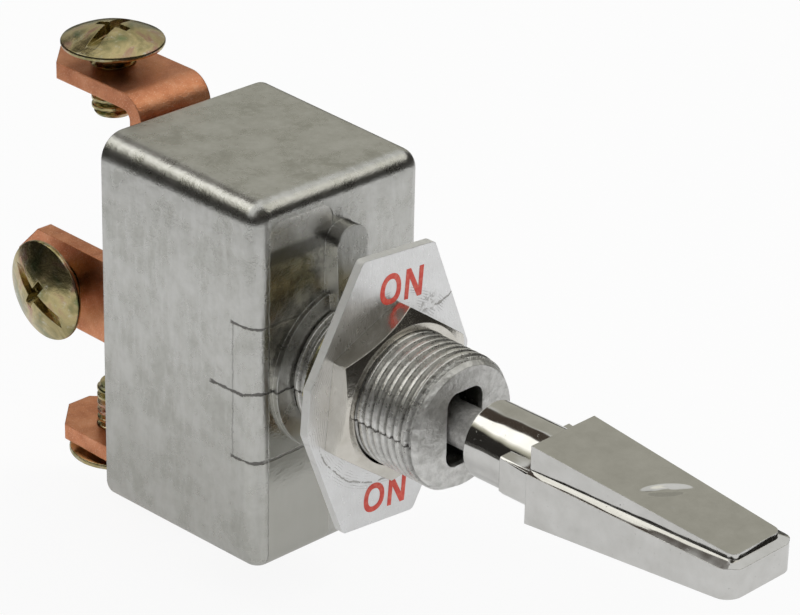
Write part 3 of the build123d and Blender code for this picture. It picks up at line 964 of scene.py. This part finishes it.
head_r, head_h, rim_h = 4.875, 2.0, 0.50
rim = [(0, 0), (head_r - 0.35, 0), (head_r - 0.08, 0.08), (head_r, 0.25), (head_r, rim_h - 0.08)]
dome_radii = [(head_r - 0.06) * (1 - (i / 16) ** 1.3) for i in range(16)]
dome = [(r, rim_h + (head_h - rim_h) * (1 - (r / head_r) ** 1.75)) for r in dome_radii]
head = shape("screw_head", lambda work: lathe(work, rim + dome + [(0, head_h)], 96))
blades = {
    "slot_blade": (6.0, 0.62, 0.95, 3.0, 0.55, 0.0),
    "cross_blade": (2.3, 0.55, 0.40, 3.0, 1.25, pi / 2),
    "long_blade": (2.6, 0.60, 0.40, 3.0, 1.25, 0.0),
}
for name, sizes in blades.items():
    cut(head, shape(name, lambda work: blade(work, *sizes)))
print("screw head:", len(head.data.polygons), "faces after cutting")

# %% Whole screws on the straps
screw_thread = bake(cut_thread, "screw_thread", {
    "Core Radius": 1.62 * MM,
    "Crest Radius": 2.085 * MM,
    "Pitch": 0.794 * MM,
    "Length": 6.85 * MM,
    "End Chamfer": 0.55 * MM,
    "Inner Radius": 0.0,
    "Worn Side": 0.0,
    "Rings": 104,
    "Columns": 64,
    "Finish": screw_finish,
})
screw_thread.transform(Matrix.Rotation(pi, 4, "X") @ Matrix.Translation((0, 0, -0.1 * MM)))


def place_screw(name, body, node, origin, axis, turn):
    """Puts the screw with its head along the axis, its underside at the origin given in mm."""
    work = bmesh.new()
    work.from_mesh(head.data)
    work.from_mesh(screw_thread)
    finish_shading(work, 34)
    z_axis = Vector(axis)
    x_axis = Vector((0, 1, 0)).cross(z_axis)
    stand = Matrix((x_axis, z_axis.cross(x_axis), z_axis)).transposed().to_4x4()
    spin = Matrix.Rotation(radians(turn), 4, "Z")
    work.transform(Matrix.Translation(Vector(origin) * MM) @ stand @ spin)
    piece = piece_from(name, to_mesh(work, name), screw_finish)
    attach(piece, body)
    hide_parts(node)
    low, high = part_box(node)
    spots = [v.co for v in piece.data.vertices]
    off = max(max(low[i] - min(p[i] for p in spots), max(p[i] for p in spots) - high[i]) for i in range(3))
    print(name, "stands", round(off / MM, 3), "mm outside its CAD box")


for name, body, node, origin, axis, turn in (
    ("screw_top_piece", "top_screw", "terminal_screw_top", (-0.4, 30.5, 21.7), (0, 0, 1), 19),
    ("screw_middle_piece", "middle_screw", "terminal_screw_middle", (-9.3, 29.7, -0.4), (-1, 0, 0), 55),
    ("screw_bottom_piece", "bottom_screw", "terminal_screw_bottom", (-0.4, 30.5, -20.2), (0, 0, -1), -30),
):
    place_screw(name, body, node, origin, axis, turn)
bpy.data.objects.remove(head)

# %% [markdown]
# ## The printed words
# The plate says ON at both ends, because the middle of this switch is its off position. The
# letters are a thin layer of ink, so each is a flat outline a few hundredths of a millimetre
# thick. They could come from a font, but the printed ones are narrow with round ends, so
# they are drawn as an oval ring and a zigzag, and turned with the plate.

# %% ON, twice
plate_turn = radians(4.4)
plate_front = -6.5
ink_back, ink_front = plate_front + 0.01, plate_front - 0.02


def oval_ring(work, centre, half_w, half_h, stroke, count=40):
    def edge(shrink, depth):
        points = []
        for i in range(count):
            t = 2 * pi * i / count
            wobble = 1 + 0.02 * sin(3 * t + centre[1])
            ex = (abs(cos(t)) ** 0.9) * (1 if cos(t) >= 0 else -1)
            ez = (abs(sin(t)) ** 0.9) * (1 if sin(t) >= 0 else -1)
            across = centre[0] + (half_w - shrink) * ex * wobble
            points.append(work.verts.new((across, depth, centre[1] + (half_h - shrink) * ez * wobble)))
        return points

    loops = [edge(0, ink_back), edge(0, ink_front), edge(stroke, ink_front), edge(stroke, ink_back)]
    for here, there in zip(loops, loops[1:] + loops[:1]):
        band(work, here, there)


def slab(work, outline):
    """A thin slab of ink with the given outline of (x, z) points."""
    low = [work.verts.new((x, ink_back, z)) for x, z in outline]
    high = [work.verts.new((x, ink_front, z)) for x, z in outline]
    work.faces.new(low)
    work.faces.new(high[::-1])
    band(work, high, low)


def word(name, low, high):
    work = bmesh.new()
    middle = (low + high) / 2
    oval_ring(work, (-0.76, middle), 1.26, (high - low) / 2 + 0.03, 0.53)
    left, right, stroke, step = 1.02, 3.18, 0.50, 0.95
    slab(work, [
        (left, low),
        (left + 0.02, high),
        (left + stroke * 1.1, high + 0.02),
        (right - stroke, low + step),
        (right - stroke - 0.02, high - 0.02),
        (right, high),
        (right - 0.03, low + 0.02),
        (right - stroke * 1.15, low),
        (left + stroke, high - step),
        (left + stroke - 0.02, low - 0.02),
    ])
    bmesh.ops.recalc_face_normals(work, faces=work.faces)
    bmesh.ops.scale(work, verts=work.verts, vec=(MM, MM, MM))
    bmesh.ops.rotate(work, verts=work.verts, matrix=Matrix.Rotation(plate_turn, 3, "Y"))
    piece = piece_from(name, to_mesh(work, name), ink_finish)
    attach(piece, "switch_body")
    return piece


word("upper_word", 8.35, 11.25)
word("lower_word", -11.95, -9.15)
print("two words printed")

# %% [markdown]
# ## Floor, lamps and background
# Metal shows what is round it, so the studio matters as much as the finishes. The picture was
# taken on a pale floor, with a dark strip at the height of the horizon, a softbox on each side
# and a dull olive wall behind on the right. Where the floor and the world meet the camera or a
# reflection they are plain white, and as a light they are dimmer, so pale metal keeps its tone.

# %% Floor and world
def show_white(tree, out, shader, share, tone):
    """Mixes plain white over a shader where the camera, a reflection or a clear body looks at it."""
    path = tree.nodes.new("ShaderNodeLightPath")
    seen = larger(path.outputs["Is Camera Ray"], path.outputs["Is Transmission Ray"])
    seen = scaled(path.outputs["Is Glossy Ray"], tone, seen)
    white = tree.nodes.new("ShaderNodeEmission")
    white.inputs["Color"].default_value = (1, 1, 1, 1)
    blend = tree.nodes.new("ShaderNodeMixShader")
    tree.links.new(times(maths("MINIMUM", seen, 1.0), share), blend.inputs["Fac"])
    tree.links.new(shader, blend.inputs[1])
    tree.links.new(white.outputs[0], blend.inputs[2])
    tree.links.new(blend.outputs[0], out)


# The bottom screw backs out 3 mm, so the floor lies lower than the part at rest.
backing_out = 3.2 * MM
floor_z = cad_box[0][2] - backing_out
work = bmesh.new()
bmesh.ops.create_grid(work, x_segments=4, y_segments=4, size=3.0)
bmesh.ops.translate(work, verts=work.verts, vec=(0, 0, floor_z - 0.2 * MM))
floor_material, tree, surface = start_finish("pale floor", 0.0)
coat(surface, (0.80, 0.80, 0.795, 1), 0.9)
show_white(tree, tree.nodes["Material Output"].inputs["Surface"], surface.outputs[0], 0.9, 0.12)
floor = piece_from("floor", to_mesh(work, "floor"), floor_material)

world = bpy.data.worlds.new("white tent")
bpy.context.scene.world = world
world.use_nodes = True
tree = world.node_tree
ambient = tree.nodes["Background"]
ambient.inputs["Color"].default_value = (0.50, 0.50, 0.50, 1)
show_white(tree, tree.nodes["World Output"].inputs["Surface"], ambient.outputs[0], 1.0, 1.0)
bpy.context.scene.view_settings.view_transform = "Standard"
print("floor at", round(floor_z / MM, 2), "mm")

# %% [markdown]
# ## What the metal reflects
# Lamps alone would leave the chrome empty, so a round tent of cards stands about the object,
# seen only in reflections. It is one half ball whose material tells, from the
# direction of each point, which card is there: a dark strip round the horizon, an olive wall
# behind on the right, a softbox behind on the left with a dark gap beside it, another softbox
# in front on the right, and a dark card on the photographer's side.

# %% Tent of cards
def tent_material():
    material, tree, surface = start_finish("tent of cards", 0.0)
    coordinates = tree.nodes.new("ShaderNodeTexCoord")
    level = tree.nodes.new("ShaderNodeVectorMath")
    level.operation = "NORMALIZE"
    tree.links.new(coordinates.outputs["Object"], level.inputs[0])
    x, y, z = parts_of(level.outputs["Vector"])
    colour = ramp(z, (0.0, (0.62, 0.62, 0.60)), (1.0, (0.80, 0.80, 0.78)))

    def card(mask, tone):
        nonlocal colour
        colour = mix(mask, colour, tone)

    front_left = both(grade(y, -0.30, -0.42), grade(x, 0.22, 0.10))
    card(front_left, (0.07, 0.065, 0.055))
    back_left = both(grade(y, 0.30, 0.40), grade(x, -0.06, -0.14))
    foot, middle, head = (0.16, 0.15, 0.115), (0.75, 0.73, 0.60), (1.65, 1.63, 1.54)
    card(back_left, ramp(z, (0.48, foot), (0.59, middle), (0.65, head)))
    gap = both(grade(y, 0.42, 0.52), within(x, -0.09, 0.31, 0.04))
    gap = both(gap, grade(z, 0.58, 0.66))
    card(gap, (0.07, 0.055, 0.043))
    front_right = both(grade(y, -0.10, -0.20), grade(x, 0.24, 0.34))
    card(front_right, (1.05, 1.03, 0.94))
    right_back = both(grade(y, 0.20, 0.34), grade(x, 0.22, 0.34))
    right_back = both(right_back, grade(z, 0.76, 0.68))
    card(right_back, (0.445, 0.435, 0.375))
    front_top = both(grade(y, -0.48, -0.56), grade(x, 0.45, 0.35))
    card(front_top, (0.07, 0.065, 0.055))
    low = both(grade(z, 0.52, 0.47), grade(maths("MINIMUM", x, y), 0.36, 0.22))
    card(low, (0.030, 0.028, 0.025))
    glow = tree.nodes.new("ShaderNodeEmission")
    tree.links.new(colour, glow.inputs["Color"])
    tree.links.new(glow.outputs[0], tree.nodes["Material Output"].inputs["Surface"])
    return material


tent_r = 1.4
work = bmesh.new()
bmesh.ops.create_uvsphere(work, u_segments=64, v_segments=32, radius=tent_r)
bmesh.ops.delete(work, geom=[v for v in work.verts if v.co.z < -0.3 * tent_r], context="VERTS")
for point in work.verts:
    point.co.z = max(point.co.z, floor_z + 1 * MM)
bmesh.ops.remove_doubles(work, verts=work.verts, dist=0.0001)
bmesh.ops.reverse_faces(work, faces=work.faces)
tent = piece_from("reflection_tent", to_mesh(work, "reflection_tent"), tent_material())



def floor_circle(work, radius, count=64):
    angles = [2 * pi * i / count for i in range(count)]
    return [work.verts.new((radius * cos(a), radius * sin(a), floor_z + 0.4 * MM)) for a in angles]


strip = bmesh.new()
inner, outer = floor_circle(strip, 0.16), floor_circle(strip, 1.3)
band(strip, outer, inner)
strip_material, tree, surface = start_finish("dark floor card", 0.0)
cloud = noise(tree, 0.004, detail=2, rough=0.5)
coat(surface, ramp(cloud, (0.35, (0.030, 0.028, 0.024)), (0.65, (0.08, 0.077, 0.07))), 0.9)
floor_card = piece_from("dark_floor_card", to_mesh(strip, "dark_floor_card"), strip_material)
for stage in (tent, floor_card):
    stage.visible_camera = stage.visible_diffuse = False
    stage.visible_transmission = stage.visible_shadow = False
print("tent of", len(tent.data.polygons), "faces")

# %% Lamps
def lamp(name, direction, reach, size, power):
    data = bpy.data.lights.new(name, "AREA")
    data.shape = "RECTANGLE"
    data.size, data.size_y = size
    data.energy = power
    piece = bpy.data.objects.new(name, data)
    towards = Vector(direction).normalized()
    piece.location = towards * reach
    piece.rotation_euler = towards.to_track_quat("Z", "Y").to_euler()
    piece.visible_glossy = False
    bpy.context.scene.collection.objects.link(piece)


lamp("softbox_right", (0.56, -0.42, 0.71), 0.75, (0.34, 0.34), 1.8)
lamp("softbox_left", (-0.45, 0.63, 0.63), 0.80, (0.34, 0.34), 1.8)
lamp("softbox_front", (-0.55, -0.80, 0.55), 0.90, (0.4, 0.3), 1.2)
print("three lamps")
